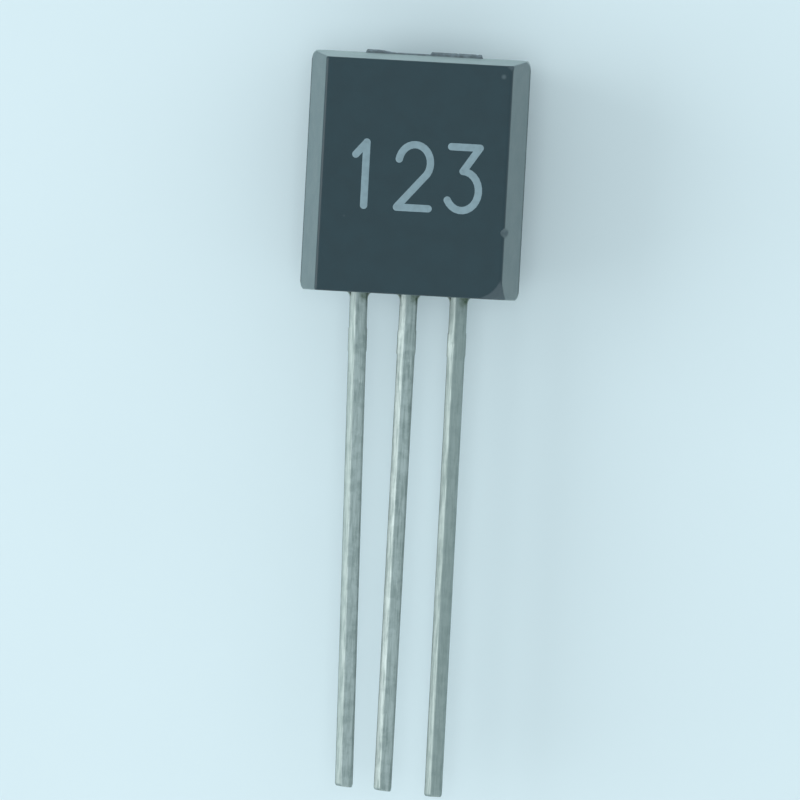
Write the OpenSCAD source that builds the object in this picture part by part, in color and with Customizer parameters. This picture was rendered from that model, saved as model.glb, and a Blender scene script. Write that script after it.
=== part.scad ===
// Three-lead plastic transistor of the TO-92 outline, lying on its round back.
// X runs across the row of leads, Y from the lead tips to the head of the body, and Z out of
// the flat face. The origin is where the middle lead leaves the foot of the body, half way
// through the thickness of the lead, which is also where the two halves of the mould meet.

/* [Moulded body] */
// Width of the body across the leads, where the mould halves meet
body_w = 5.56; // [5.3:0.01:5.8]
// Height of the body along the leads, where the mould halves meet
body_h = 6.1; // [5.6:0.01:6.6]
// Width of the flat face
flat_w = 4.7; // [4.3:0.01:5]
// Distance from the leads' middle plane to the flat face
front_depth = 1.47; // [1.3:0.01:1.8]
// Draft of the head and foot faces, in degrees
end_draft = 3.7; // [1:0.1:6]
// Radius along the edges of the flat face
arris_r = 0.09; // [0.03:0.01:0.15]
// Radius of the two corners at the head
head_corner_r = 0.18; // [0.08:0.01:0.3]
// Radius of the two corners at the foot
foot_corner_r = 0.14; // [0.08:0.01:0.3]
// Length of the chip knocked off the right foot corner of the flat face
chip_l = 0.26; // [0.1:0.01:0.4]
// Radius of the resin fillets where the leads leave the foot
root_fillet_r = 0.11; // [0.05:0.01:0.14]
// Thickness of the resin flash that forms those fillets
root_flash_t = 0.26; // [0.1:0.01:0.35]

/* [Mould scars on the head] */
// Distance from the middle line to the near end of the broken gate
gate_start = 0.25; // [0.1:0.01:0.4]
// Width of the broken gate
gate_w = 1.3; // [0.8:0.01:1.5]
// How far the broken gate stands up
gate_h = 0.09; // [0.05:0.01:0.15]
// Distance from the middle line to the near end of the vent flash
vent_start = 0.69; // [0.5:0.01:0.9]
// Width of the vent flash
vent_w = 0.73; // [0.5:0.01:1]
// How far the vent flash stands up
vent_h = 0.08; // [0.05:0.01:0.12]
// How far the thin flash between the two stands up
flash_h = 0.03; // [0.01:0.01:0.04]
// Thickness of the scars in front of the leads' middle plane
scar_front_t = 0.1; // [0.05:0.01:0.2]
// Thickness of the scars behind the leads' middle plane
scar_back_t = 0.16; // [0.05:0.01:0.3]

/* [Leads] */
// Pitch of the leads
lead_pitch = 1.27; // [1.15:0.01:1.39]
// Width of a lead
lead_w = 0.45; // [0.35:0.01:0.55]
// Thickness of a lead
lead_t = 0.45; // [0.35:0.01:0.5]
// Length of the left lead outside the body
left_lead_len = 12.62; // [5:0.01:16]
// Length of the middle lead outside the body
middle_lead_len = 12.67; // [5:0.01:16]
// Length of the right lead outside the body
right_lead_len = 12.75; // [5:0.01:16]
// Lean of the left lead towards the middle one, in degrees
left_lead_lean = 1.3; // [0:0.1:1.8]
// Lean of the right lead away from the middle one, in degrees
right_lead_lean = 0.12; // [0:0.01:3]
// Slant of the cut at the tips of the left and middle leads, in degrees
tip_slant = 3.5; // [0:0.5:10]
// Distance from the foot of the body to the trimmed dam bar
dam_bar_drop = 0.9; // [0.5:0.01:1.5]
// Height of the dam bar
dam_bar_h = 0.62; // [0.3:0.01:1]
// What the trimming of the dam bar leaves on each side of a lead
dam_bar_stub = 0.02; // [0.005:0.005:0.05]
// Width of the rolled edge on the left of each lead's front
left_roll_w = 0.16; // [0.05:0.01:0.18]
// Depth of the rolled edge on the left
left_roll_d = 0.12; // [0.05:0.01:0.2]
// Width of the rolled edge on the right of each lead's front
right_roll_w = 0.05; // [0.02:0.01:0.12]
// Depth of the rolled edge on the right
right_roll_d = 0.05; // [0.02:0.01:0.12]

/* [Lead frame inside] */
// Distance from the foot of the body to the locking ears
ear_rise = 0.85; // [0.6:0.01:1]
// Height of the locking ears
ear_h = 0.35; // [0.2:0.01:0.5]
// How far an ear stands out from its lead
ear_out = 0.2; // [0.1:0.01:0.25]
// Distance from the foot of the body to the die pad
pad_rise = 2.1; // [1.8:0.01:2.3]
// Width of the die pad
pad_w = 1.5; // [1.2:0.01:1.7]
// Height of the die pad
pad_h = 2.2; // [1.6:0.01:2.6]
// Gap between the die pad and the bonding posts
post_gap = 0.3; // [0.2:0.01:0.4]
// Width of a bonding post
post_w = 0.78; // [0.6:0.01:0.9]
// Distance from the middle of the die down to the foot of a bonding post
post_drop = 1.1; // [0.8:0.01:1.3]
// Distance from the middle of the die up to the top of a bonding post
post_lift = 0.5; // [0.3:0.01:0.8]
// Bevel on the corners of pad and posts
frame_bevel = 0.15; // [0.05:0.01:0.25]

/* [Die and bond wires] */
// Side of the square silicon die
die_w = 0.5; // [0.4:0.01:0.8]
// Thickness of the die
die_t = 0.2; // [0.1:0.01:0.3]
// Thickness of the layer that bonds the die to its pad
attach_t = 0.02; // [0.01:0.005:0.05]
// How far that layer shows round the die
attach_rim = 0.03; // [0.01:0.01:0.08]
// Diameter of a bond wire
wire_d = 0.04; // [0.03:0.005:0.06]
// Radius of a bond wire's loop
loop_r = 0.7; // [0.66:0.01:0.75]
// Distance from the middle of the die to each ball bond, across the leads
ball_x = 0.13; // [0.1:0.01:0.15]
// Distance from the middle of the die to each ball bond, along the leads
ball_y = 0.09; // [0.05:0.01:0.14]
// Diameter of the ball bond
ball_d = 0.09; // [0.07:0.01:0.1]
// Thickness of the ball bond
ball_t = 0.02; // [0.01:0.005:0.03]
// Distance from the inner edge of a post to its stitch bond
stitch_in = 0.25; // [0.15:0.01:0.35]
// Length of the stitch bond beyond the wire
stitch_l = 0.1; // [0.06:0.01:0.15]
// Thickness of the stitch bond
stitch_t = 0.012; // [0.01:0.001:0.02]

/* [Hidden] */
RESIN = [0.22, 0.3, 0.33];
TIN = [0.66, 0.69, 0.66];
SILICON = [0.3, 0.34, 0.42];
SILVER_PASTE = [0.72, 0.72, 0.7];
GOLD = [0.9, 0.72, 0.3];
ARC_STEPS = 6;
ROUND_FN = 96;
WIRE_FN = 24;
// Cutting shapes reach this far past what they cut
PAST = 1;
// The root of a lead stays straight for this length before it leans
root_l = 0.2;
back_r = body_w / 2;
lead_front = lead_t / 2;
foot_inset = front_depth * tan(end_draft);
back_inset = back_r * tan(end_draft);
die_y = pad_rise + pad_h / 2;
post_inner = pad_w / 2 + post_gap;
post_foot = die_y - post_drop;
post_top = die_y + post_lift;
die_foot = lead_front + attach_t;
die_top = die_foot + die_t;
stitch_x = post_inner + stitch_in;
gate_end = gate_start + gate_w;
vent_end = vent_start + vent_w;
scar_slope = gate_h / 3;

function unit(v) = v / norm(v);

function turned(v, a) = [v.x * cos(a) - v.y * sin(a), v.x * sin(a) + v.y * cos(a)];

// Corner b of an outline, between a and c, as an arc of radius r, or as itself where r is 0
function corner(a, b, c, r) =
    let (
        to_a = unit(a - b),
        to_c = unit(c - b),
        half = acos(to_a * to_c) / 2,
        centre = b + unit(to_a + to_c) * r / sin(half),
        start = b + to_a * r / tan(half) - centre,
        side = sign(to_a.x * to_c.y - to_a.y * to_c.x),
        sweep = -side * (180 - 2 * half)
    )
    r == 0 ? [b] : [for (i = [0 : ARC_STEPS]) centre + turned(start, sweep * i / ARC_STEPS)];

// An outline with each corner rounded by its own radius
function rounded(points, radii) =
    let (n = len(points))
    [for (i = [0 : n - 1]) each corner(points[(i + n - 1) % n], points[i], points[(i + 1) % n], radii[i])];

// Outline across the leads: straight-sided in front, half round behind
module cross_outline() {
    polygon(rounded(
        [[back_r, 0], [flat_w / 2, front_depth], [-flat_w / 2, front_depth], [-back_r, 0]],
        [0, arris_r, arris_r, 0]
    ));
    intersection() {
        circle(r = back_r, $fn = ROUND_FN);
        translate([-back_r - PAST, -back_r - PAST])
            square([2 * (back_r + PAST), back_r + PAST]);
    }
}

// Outline along the leads: both ends drafted away from where the mould halves meet
module side_outline() {
    polygon(rounded(
        [
            [0, 0],
            [foot_inset, front_depth],
            [body_h - foot_inset, front_depth],
            [body_h, 0],
            [body_h - back_inset, -back_r],
            [back_inset, -back_r]
        ],
        [0, arris_r, arris_r, 0, 0, 0]
    ));
}

// What a corner of radius r loses, with its round edge centred on the origin
module corner_loss(r) {
    translate([0, 0, -back_r - PAST])
        linear_extrude(height = back_r + front_depth + 2 * PAST)
            difference() {
                square(r + PAST);
                circle(r = r, $fn = ROUND_FN);
            }
}

module outer_corners_lost() {
    for (side = [0, 1]) {
        mirror([side, 0, 0])
            translate([back_r - head_corner_r, body_h - head_corner_r, 0])
                corner_loss(head_corner_r);
        mirror([side, 0, 0])
            translate([back_r - foot_corner_r, foot_corner_r, 0])
                mirror([0, 1, 0])
                    corner_loss(foot_corner_r);
    }
}

// The chip at the right foot corner of the flat face. Its plane leans 45 degrees, so it comes
// half as far in as the length that it takes off the edges of the face.
module corner_chip() {
    translate([flat_w / 2, foot_inset, front_depth])
        rotate([0, 0, -45])
            rotate([0, 45, 0])
                translate([-PAST, -PAST, -chip_l / 2])
                    cube([2 * PAST, 2 * PAST, PAST]);
}

// Resin between the foot and one side of a lead, in the flash where the mould halves meet
module root_fillet() {
    translate([0, 0, -root_flash_t / 2])
        linear_extrude(height = root_flash_t)
            difference() {
                translate([0, -root_fillet_r])
                    square([root_fillet_r, 2 * root_fillet_r]);
                translate([root_fillet_r, -root_fillet_r])
                    circle(r = root_fillet_r, $fn = ROUND_FN);
            }
}

module root_fillets() {
    for (place = [-1, 0, 1]) {
        for (side = [0, 1]) {
            translate([place * lead_pitch, 0, 0])
                mirror([side, 0, 0])
                    translate([lead_w / 2, 0, 0])
                        root_fillet();
        }
    }
}

// The broken gate, the vent flash and the thin flash between them, in one strip
module head_scars() {
    translate([0, body_h, -scar_back_t])
        linear_extrude(height = scar_back_t + scar_front_t)
            polygon([
                [-vent_end, -back_inset],
                [-vent_end, 0],
                [-vent_end + scar_slope, vent_h],
                [-(vent_start + vent_end) / 2, vent_h],
                [-vent_start, flash_h],
                [gate_start - scar_slope, flash_h],
                [gate_start, gate_h],
                [gate_end - scar_slope, gate_h],
                [gate_end, 0],
                [gate_end, -back_inset]
            ]);
}

// How far the middle line of a lead has moved at height y, for a lean towards +X
function shift(y, lean) = max(0, -y - root_l) * tan(lean);

// One side of a lead from its tip up past the locking ear, about the lead's own middle line
function lead_side(side, length, lean, slant) =
    let (
        tip_y = -length - side * lead_w / 2 * tan(slant),
        bar_foot = -dam_bar_drop - dam_bar_h,
        ear_top = ear_rise + ear_h,
        edges = [
            [tip_y, 0],
            [bar_foot, 0],
            [bar_foot, dam_bar_stub],
            [-dam_bar_drop, dam_bar_stub],
            [-dam_bar_drop, 0],
            [-root_l, 0],
            [ear_rise, 0],
            [ear_rise, ear_out],
            [ear_top, ear_out],
            [ear_top, 0]
        ]
    )
    [for (edge = edges) [side * (lead_w / 2 + edge[1]) + shift(edge[0], lean), edge[0]]];

function reversed(points) = [for (i = [len(points) - 1 : -1 : 0]) points[i]];

// Outline of a lead with the given head between its two sides
module lead_outline(head, length, lean, slant) {
    polygon(concat(
        lead_side(1, length, lean, slant),
        head,
        reversed(lead_side(-1, length, lean, slant))
    ));
}

// One half of the die pad, from its foot up
function pad_side(side) = [
    [side * lead_w / 2, pad_rise],
    [side * (pad_w / 2 - frame_bevel), pad_rise],
    [side * pad_w / 2, pad_rise + frame_bevel],
    [side * pad_w / 2, pad_rise + pad_h - frame_bevel],
    [side * (pad_w / 2 - frame_bevel), pad_rise + pad_h]
];

// The bonding post of the right lead, about that lead's middle line
function post_head() =
    let (
        inner = post_inner - lead_pitch,
        outer = inner + post_w,
        neck_top = post_foot - 2 * frame_bevel
    )
    [
        [lead_w / 2, neck_top],
        [outer, post_foot],
        [outer, post_top - frame_bevel],
        [outer - frame_bevel, post_top],
        [inner, post_top],
        [inner, post_foot],
        [-lead_w / 2, neck_top]
    ];

// What the stamping rolled off one front edge of a lead. The slope starts at the depth given
// on the lead's side, and meets the front at the width given.
module rolled_edge(width, depth, length) {
    slope = depth / width;
    rotate([90, 0, 0])
        linear_extrude(height = length + PAST)
            polygon([
                [-PAST, -depth - slope * PAST],
                [width + PAST, slope * PAST],
                [width + PAST, depth + PAST],
                [-PAST, depth + PAST]
            ]);
}

// A lead cut from its outline, which is the child, with its front edges rolled.
// Lean is positive towards +X.
module stamped_lead(place, length, lean) {
    difference() {
        translate([place, 0, -lead_front])
            linear_extrude(height = lead_t)
                children();
        translate([place, -root_l, lead_front])
            rotate([0, 0, lean]) {
                translate([-lead_w / 2, 0, 0])
                    rolled_edge(left_roll_w, left_roll_d, length);
                translate([lead_w / 2, 0, 0])
                    mirror([1, 0, 0])
                        rolled_edge(right_roll_w, right_roll_d, length);
            }
    }
}

module left_lead() {
    color(TIN)
        stamped_lead(-lead_pitch, left_lead_len, left_lead_lean)
            mirror([1, 0])
                lead_outline(post_head(), left_lead_len, -left_lead_lean, -tip_slant);
}

module middle_lead() {
    color(TIN)
        stamped_lead(0, middle_lead_len, 0)
            lead_outline(concat(pad_side(1), reversed(pad_side(-1))), middle_lead_len, 0, tip_slant);
}

module right_lead() {
    color(TIN)
        stamped_lead(lead_pitch, right_lead_len, right_lead_lean)
            lead_outline(post_head(), right_lead_len, right_lead_lean, 0);
}

module die_attach() {
    side = die_w + 2 * attach_rim;
    color(SILVER_PASTE)
        translate([-side / 2, die_y - side / 2, lead_front])
            cube([side, side, attach_t]);
}

module silicon_die() {
    color(SILICON)
        translate([-die_w / 2, die_y - die_w / 2, die_foot])
            cube([die_w, die_w, die_t]);
}

// A wire looped from a ball on the die to a stitch on the right post. The loop is an arc
// through the two bonds, cut off where it meets each of them.
module bond_wire() {
    from = [ball_x, die_top];
    to = [stitch_x, lead_front];
    chord = to - from;
    sink = sqrt(loop_r * loop_r - chord * chord / 4);
    centre = (from + to) / 2 + sink * [chord.y, -chord.x] / norm(chord);
    split = (from.x + to.x) / 2;
    reach = loop_r + wire_d;
    intersection() {
        translate([centre.x, 0, centre.y])
            rotate([90, 0, 0])
                rotate_extrude($fn = ROUND_FN)
                    translate([loop_r, 0])
                        circle(d = wire_d, $fn = WIRE_FN);
        union() {
            translate([split - 2 * reach, -wire_d, from.y])
                cube([2 * reach, 2 * wire_d, 2 * reach]);
            translate([split, -wire_d, to.y])
                cube([2 * reach, 2 * wire_d, 2 * reach]);
        }
    }
    translate([from.x, 0, from.y])
        cylinder(d = ball_d, h = ball_t, $fn = WIRE_FN);
    translate([to.x, -wire_d, to.y])
        cube([stitch_l, 2 * wire_d, stitch_t]);
}

module left_bond_wire() {
    color(GOLD)
        translate([0, die_y - ball_y, 0])
            mirror([1, 0, 0])
                bond_wire();
}

module right_bond_wire() {
    color(GOLD)
        translate([0, die_y + ball_y, 0])
            bond_wire();
}

// Everything that the resin was moulded round
module moulded_in() {
    left_lead();
    middle_lead();
    right_lead();
    die_attach();
    silicon_die();
    left_bond_wire();
    right_bond_wire();
}

module moulded_body() {
    color(RESIN)
        difference() {
            union() {
                intersection() {
                    translate([0, body_h + PAST, 0])
                        rotate([90, 0, 0])
                            linear_extrude(height = body_h + 2 * PAST)
                                cross_outline();
                    translate([-back_r - PAST, 0, 0])
                        rotate([90, 0, 90])
                            linear_extrude(height = 2 * (back_r + PAST))
                                side_outline();
                }
                head_scars();
                root_fillets();
            }
            outer_corners_lost();
            corner_chip();
            moulded_in();
        }
}

moulded_body();
left_lead();
middle_lead();
right_lead();
die_attach();
silicon_die();
left_bond_wire();
right_bond_wire();
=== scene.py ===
import math

import bmesh
import bpy
from mathutils import Matrix, Vector, noise


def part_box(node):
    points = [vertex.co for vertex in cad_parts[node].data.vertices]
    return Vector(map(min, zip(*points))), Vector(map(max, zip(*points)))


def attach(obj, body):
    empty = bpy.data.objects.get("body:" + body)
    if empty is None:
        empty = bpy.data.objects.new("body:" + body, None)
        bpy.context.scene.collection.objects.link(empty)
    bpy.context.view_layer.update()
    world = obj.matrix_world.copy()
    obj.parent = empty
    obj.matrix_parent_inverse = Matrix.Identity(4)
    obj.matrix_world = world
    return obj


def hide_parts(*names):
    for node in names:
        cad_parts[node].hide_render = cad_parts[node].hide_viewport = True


bl_info = {
    "name": "Plastic transistor looks",
    "version": (1, 0, 0),
    "blender": (4, 5, 0),
    "location": "3D View > Sidebar > Transistor",
    "description": "Dresses a three-lead plastic transistor that lies on its round back",
    "category": "Object",
}

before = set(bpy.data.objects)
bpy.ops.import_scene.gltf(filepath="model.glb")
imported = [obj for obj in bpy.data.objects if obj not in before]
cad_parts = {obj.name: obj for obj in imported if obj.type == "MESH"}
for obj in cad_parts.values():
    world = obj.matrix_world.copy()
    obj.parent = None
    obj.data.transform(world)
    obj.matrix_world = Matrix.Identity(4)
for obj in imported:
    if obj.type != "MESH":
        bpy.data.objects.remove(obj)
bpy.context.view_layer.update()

# Everything is in metres, in the frame of the part: X across the leads, Y from the tips to the
# head, Z out of the flat face, with the origin where the middle lead leaves the body.
MM = 0.001
BODY_LOW, BODY_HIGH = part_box("moulded_body")
BODY_MIDDLE = (BODY_LOW + BODY_HIGH) / 2
LEADS = {"left_lead": -1, "middle_lead": 0, "right_lead": 1}
INNER_PIECES = {
    "die_attach": "die_attach",
    "silicon_die": "silicon",
    "left_bond_wire": "bond_wire",
    "right_bond_wire": "bond_wire",
}
SMOOTH_BELOW = math.radians(32)
SCAR_SLOT = 1
# The broken strip on the head, from left to right: the vent, the end of its slope, the gate.
VENT_LEFT, VENT_RIGHT, VENT_FOOT = -1.42 * MM, -1.06 * MM, -0.69 * MM
GATE_LEFT, GATE_RIGHT = 0.22 * MM, 1.55 * MM


def length(name, description, default):
    return bpy.props.FloatProperty(
        name=name, description=description, default=default, unit="LENGTH", precision=6
    )


def angle(name, description, degrees):
    return bpy.props.FloatProperty(
        name=name, description=description, default=math.radians(degrees), subtype="ANGLE"
    )


def share(name, description, default):
    return bpy.props.FloatProperty(
        name=name, description=description, default=default, subtype="FACTOR"
    )


def colour(name, description, default):
    return bpy.props.FloatVectorProperty(
        name=name, description=description, default=default, subtype="COLOR", size=3, min=0, max=1
    )


class ResinSettings(bpy.types.PropertyGroup):
    """The moulded body"""

    half_width: length("Half width", "Half the width where the mould halves meet", BODY_HIGH.x)
    front: length("Front", "Height of the flat face above the leads' middle", BODY_HIGH.z)
    back: length("Back", "Depth of the round back below the leads' middle", -BODY_LOW.z)
    gate_height: length("Gate height", "How far the broken gate stands up", 0.09 * MM)
    vent_height: length("Vent height", "How far the vent flash stands up", 0.08 * MM)
    flash_height: length("Flash height", "Height of the thin flash between the two", 0.03 * MM)
    flat_width: length("Flat width", "Width of the flat face", 4.7 * MM)
    end_draft: angle("End draft", "Draft of the head and the foot", 3.7)
    arris: length("Arris", "Radius along the long edges of the flat face", 0.09 * MM)
    end_edge: length("End edge", "Radius round the head and the foot", 0.045 * MM)
    head_corner: length("Head corner", "Radius of the corners at the head", 0.18 * MM)
    foot_corner: length("Foot corner", "Radius of the corners at the foot", 0.14 * MM)
    parting_ridge: length("Parting ridge", "Height of the flash line round the body", 0.008 * MM)
    face_skin: length("Face skin", "Room left for the ink above the moulded face", 0.006 * MM)
    chip: length("Chip", "Radius left where the right foot corner is knocked off", 0.8 * MM)
    head_wear: length("Head wear", "Radius left on the worn right head corner", 0.33 * MM)
    left_wear: length("Left wear", "Radius left on the two left corners", 0.14 * MM)
    nick_reach: length("Nick reach", "How far the nick comes into the flat face", 0.1 * MM)
    nick_height: length("Nick height", "Height of the nick along the edge", 0.24 * MM)
    root_fillet: length("Root fillet", "Reach of the resin beside the lead roots", 0.11 * MM)
    root_flash: length("Root flash", "Thickness of the resin beside the lead roots", 0.26 * MM)
    resin: colour("Resin", "Colour of the moulded skin", (0.006, 0.0275, 0.0375))
    broken: colour("Broken resin", "Colour where the resin is broken or scuffed", (0.055, 0.085, 0.1))
    scar: colour("Scar", "Colour of the broken gate and vent", (0.15, 0.2, 0.225))
    bleed: colour("Resin bleed", "Colour of the thin resin at the lead roots", (0.1, 0.135, 0.1))


class LeadSettings(bpy.types.PropertyGroup):
    """The three tinned leads"""

    pitch: length("Pitch", "Distance from lead to lead", 1.27 * MM)
    width: length("Width", "Width of a lead", 0.45 * MM)
    thickness: length("Thickness", "Thickness of a lead", 0.45 * MM)
    left_roll_width: length("Left roll width", "Width of the rolled left edge", 0.16 * MM)
    left_roll_depth: length("Left roll depth", "Depth of the rolled left edge", 0.12 * MM)
    right_roll_width: length("Right roll width", "Width of the rolled right edge", 0.05 * MM)
    right_roll_depth: length("Right roll depth", "Depth of the rolled right edge", 0.05 * MM)
    root: length("Root", "Straight length of a lead before it leans", 0.2 * MM)
    left_lean: angle("Left lean", "Lean of the left lead, towards the middle one", 1.3)
    right_lean: angle("Right lean", "Lean of the right lead, away from the middle one", 0.12)
    tip_slant: angle("Tip slant", "Slant of the cut on the left and middle leads", 3.5)
    bar_drop: length("Dam bar drop", "Distance from the foot to the trimmed dam bar", 0.9 * MM)
    bar_height: length("Dam bar height", "Height of the trimmed dam bar", 0.62 * MM)
    bar_stub: length("Dam bar stub", "What the trimming leaves on each side", 0.014 * MM)
    splice: length("Splice", "How far inside the body the drawn lead starts", 0.4 * MM)
    tin: colour("Tin", "Colour of the plating", (0.44, 0.49, 0.475))
    # This colour is also laid as painted shade on the lead faces that look to the left.
    tarnish_and_shade_colour: colour("Tarnish", "Colour of the darker streaks", (0.25, 0.3, 0.285))


class NumberSettings(bpy.types.PropertyGroup):
    """The plain lead numbers printed on the flat face"""

    height: length("Height", "Height of a number", 1.6 * MM)
    width: length("Width", "Width of a number", 0.8 * MM)
    foot: length("Foot", "Distance from the foot of the body to the numbers", 2.3 * MM)
    stroke: length("Stroke", "Width of a stroke", 0.185 * MM)
    ink: colour("Ink", "Colour of the ink", (0.2, 0.3, 0.345))


class StageSettings(bpy.types.PropertyGroup):
    """The floor, the lights and the camera"""

    floor: colour("Floor", "Colour of the floor and the backdrop", (0.665, 0.81, 0.86))
    sky: colour("Sky", "Colour of the light from all round", (0.93, 0.98, 1.0))
    sky_share: share("Sky share", "Share of the floor's light that comes from all round", 0.67)
    left_share: share("Left share", "Share of the light from the left lamp", 0.175)
    right_share: share("Right share", "Share of the light from the right lamp", 0.008)
    foot_share: share("Foot share", "Share of the light from the lamp past the tips", 0.03)
    head_share: share("Head share", "Share of the light from the lamp past the head", 0.012)
    top_share: share("Top share", "Share of the light from the lamp straight above", 0.185)
    lamp_height: angle("Lamp height", "How high the side lamps stand above the floor", 30)
    lamp_distance: length("Lamp distance", "Distance of the lamps from the body", 400 * MM)
    lamp_size: length("Lamp size", "Width of the square side lamps", 300 * MM)
    top_size: length("Top size", "Width of the square lamp straight above", 140 * MM)
    distance: length("Distance", "Distance of the camera from the body", 250 * MM)
    lean_to_head: angle("Lean to the head", "How far the camera looks from the head side", 3.2)
    lean_to_right: angle("Lean to the right", "How far the camera looks from the right", 1.4)
    roll: angle("Roll", "Turn of the part in the picture, clockwise", 3.07)


def add_node(tree, kind, inputs=None, **settings):
    """Adds a node. An input, by name or number, gets a value or another node's output."""
    made = tree.nodes.new(kind)
    for name, value in settings.items():
        setattr(made, name, value)
    for socket, value in (inputs or {}).items():
        if isinstance(value, bpy.types.NodeSocket):
            tree.links.new(value, made.inputs[socket])
        else:
            made.inputs[socket].default_value = value
    return made


def calculate(tree, operation, *values, clamp=False):
    """The output of a Math node on numbers or other outputs."""
    inputs = dict(enumerate(values))
    made = add_node(tree, "ShaderNodeMath", inputs, operation=operation, use_clamp=clamp)
    return made.outputs[0]


def product(tree, *values):
    """The product of numbers or outputs, by a chain of Math nodes."""
    result = values[0]
    for value in values[1:]:
        result = calculate(tree, "MULTIPLY", result, value)
    return result


def vector_math(tree, operation, first, second):
    """The result of a Vector Math node on two vectors, or on a vector and a scale."""
    inputs = {0: first, "Scale" if operation == "SCALE" else 1: second}
    made = add_node(tree, "ShaderNodeVectorMath", inputs, operation=operation)
    return made.outputs["Value" if operation == "DISTANCE" else "Vector"]


def combined(tree, x=0.0, y=0.0, z=0.0):
    """A vector from its parts."""
    return add_node(tree, "ShaderNodeCombineXYZ", {"X": x, "Y": y, "Z": z}).outputs[0]


def parted(tree, vector):
    """The X, Y and Z of a vector, by name."""
    return add_node(tree, "ShaderNodeSeparateXYZ", {0: vector}).outputs


def noise_value(tree, vector, scale, detail, roughness=0.5):
    """The value of a noise texture at a vector."""
    inputs = {"Vector": vector, "Scale": scale, "Detail": detail, "Roughness": roughness}
    return add_node(tree, "ShaderNodeTexNoise", inputs).outputs["Fac"]


def mapped(tree, value, low, high, to_low=0.0, to_high=1.0, smooth=True):
    """A value mapped from one range to another and held inside it."""
    inputs = {"Value": value, "From Min": low, "From Max": high, "To Min": to_low, "To Max": to_high}
    kind = "SMOOTHSTEP" if smooth else "LINEAR"
    return add_node(tree, "ShaderNodeMapRange", inputs, interpolation_type=kind).outputs[0]


def mixed(tree, factor, first, second):
    """Two colours mixed by a factor."""
    inputs = {"Factor": factor, 6: first, 7: second}
    return add_node(tree, "ShaderNodeMix", inputs, data_type="RGBA").outputs[2]


def rgba(values):
    return (*values, 1.0)


def own_coordinates(tree):
    """A piece's own places and normals, by name."""
    return add_node(tree, "ShaderNodeTexCoord").outputs


def group(name, inputs, outputs):
    """A shader node group with named sockets. Inputs give their type and default."""
    tree = bpy.data.node_groups.new(name, "ShaderNodeTree")
    for label, (kind, default) in inputs.items():
        socket = tree.interface.new_socket(label, in_out="INPUT", socket_type=kind)
        if default is not None:
            socket.default_value = default
    for label, kind in outputs.items():
        tree.interface.new_socket(label, in_out="OUTPUT", socket_type=kind)
    return tree, tree.nodes.new("NodeGroupInput").outputs, tree.nodes.new("NodeGroupOutput").inputs


def grain_group():
    """Fine spark-eroded grain for a bump, and a broad faint mottle for a colour."""
    tree, given, out = group(
        "Moulding grain",
        {
            "Vector": ("NodeSocketVector", None),
            "Grain Size": ("NodeSocketFloat", 0.04 * MM),
            "Mottle Size": ("NodeSocketFloat", 0.5 * MM),
        },
        {"Height": "NodeSocketFloat", "Mottle": "NodeSocketFloat"},
    )
    fine_scale = calculate(tree, "DIVIDE", 1.0, given["Grain Size"])
    broad_scale = calculate(tree, "DIVIDE", 1.0, given["Mottle Size"])
    fine = noise_value(tree, given["Vector"], fine_scale, 3.0, 0.6)
    broad = noise_value(tree, given["Vector"], broad_scale, 4.0, 0.55)
    tree.links.new(fine, out["Height"])
    tree.links.new(mapped(tree, broad, 0.3, 0.7), out["Mottle"])
    return tree


def streak_group():
    """Streaks drawn out along Y, as from rolling, plating and handling."""
    tree, given, out = group(
        "Drawn streaks",
        {
            "Vector": ("NodeSocketVector", None),
            "Width": ("NodeSocketFloat", 0.05 * MM),
            "Stretch": ("NodeSocketFloat", 18.0),
        },
        {"Height": "NodeSocketFloat", "Streak": "NodeSocketFloat", "Patch": "NodeSocketFloat"},
    )
    place = parted(tree, given["Vector"])
    along = calculate(tree, "DIVIDE", place["Y"], given["Stretch"])
    drawn = combined(tree, place["X"], along, place["Z"])
    scale = calculate(tree, "DIVIDE", 1.0, given["Width"])
    fine = noise_value(tree, drawn, scale, 4.0, 0.65)
    broad = noise_value(tree, given["Vector"], product(tree, scale, 0.16), 3.0, 0.6)
    tree.links.new(fine, out["Height"])
    tree.links.new(mapped(tree, fine, 0.38, 0.66), out["Streak"])
    tree.links.new(mapped(tree, broad, 0.42, 0.62), out["Patch"])
    return tree


def speck_group():
    """Scattered small specks of dust, as a mask."""
    tree, given, out = group(
        "Dust specks",
        {
            "Vector": ("NodeSocketVector", None),
            "Spacing": ("NodeSocketFloat", 0.5 * MM),
            "Size": ("NodeSocketFloat", 0.06),
        },
        {"Mask": "NodeSocketFloat"},
    )
    scale = calculate(tree, "DIVIDE", 1.0, given["Spacing"])
    cells = add_node(tree, "ShaderNodeTexVoronoi", {"Vector": given["Vector"], "Scale": scale})
    soft_edge = product(tree, given["Size"], 1.6)
    near = mapped(tree, cells.outputs["Distance"], soft_edge, given["Size"])
    lottery = add_node(tree, "ShaderNodeSeparateColor", {0: cells.outputs["Color"]})
    drawn_out = mapped(tree, lottery.outputs[0], 0.72, 0.78)
    tree.links.new(product(tree, near, drawn_out), out["Mask"])
    return tree


def place_group(tree, name, **inputs):
    """Puts one of the shared groups in a material, with its own values. Returns its outputs."""
    makers = {"Moulding grain": grain_group, "Drawn streaks": streak_group, "Dust specks": speck_group}
    shared = bpy.data.node_groups.get(name) or makers[name]()
    placed = add_node(tree, "ShaderNodeGroup", node_tree=shared)
    tree.links.new(own_coordinates(tree)["Object"], placed.inputs["Vector"])
    for socket, value in inputs.items():
        placed.inputs[socket.replace("_", " ")].default_value = value
    return placed.outputs


def new_material(name, **settings):
    """A material with its Principled shader, whose plain sockets are set by name."""
    material = bpy.data.materials.new(name)
    material.use_nodes = True
    tree = material.node_tree
    shader = tree.nodes["Principled BSDF"]
    for socket, value in settings.items():
        shader.inputs[socket.replace("_", " ")].default_value = value
    return material, tree, shader.inputs


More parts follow.
